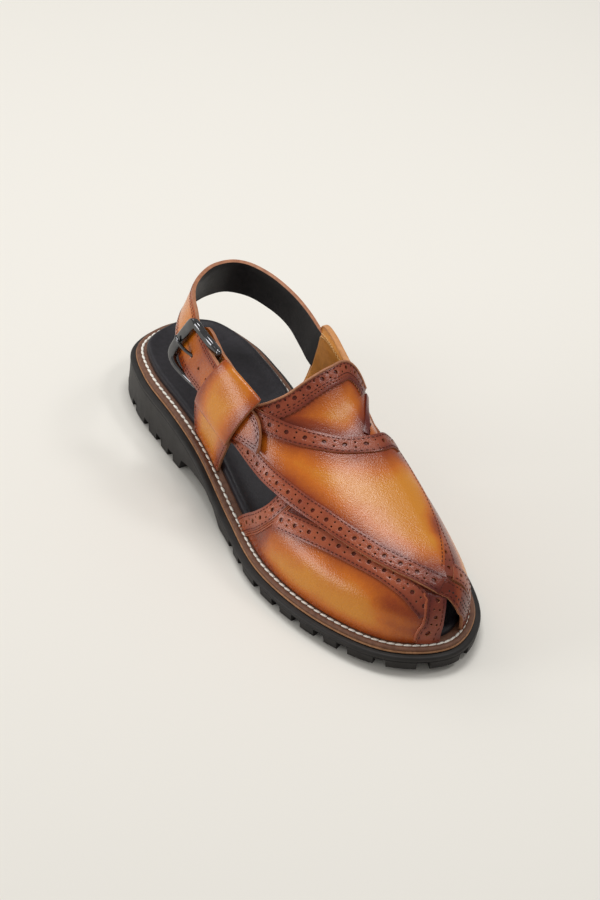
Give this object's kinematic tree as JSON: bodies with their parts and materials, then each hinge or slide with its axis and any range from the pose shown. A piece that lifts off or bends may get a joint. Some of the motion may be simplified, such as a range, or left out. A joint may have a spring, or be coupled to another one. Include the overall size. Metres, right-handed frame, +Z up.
{
  "type": "peshawari chappal",
  "caption": "Leather sandal with broad crossed straps, buckled heel strap, welt and lugged rubber sole, for the right foot.",
  "frame": {"origin": "middle of the shoe's length and width, on the floor that the sole stands on", "axes": "+Z up, toe towards -Y, outer side of the foot towards -X, inner side towards +X"},
  "size_m": [0.1094, 0.3078, 0.0954],
  "materials": {
    "upper_leather": "burnished satin",
    "strap_leather": "burnished satin",
    "insole_leather": "soft matte",
    "welt_leather": "waxed",
    "outsole_rubber": "matte",
    "buckle_metal": "polished gunmetal"
  },
  "bodies": {
    "root": {"upper": "upper_leather", "heel_strap": "strap_leather", "insole": "insole_leather", "welt": "welt_leather", "outsole": "outsole_rubber", "buckle_frame": "buckle_metal", "buckle_prong": "buckle_metal"}
  },
  "joints": []
}
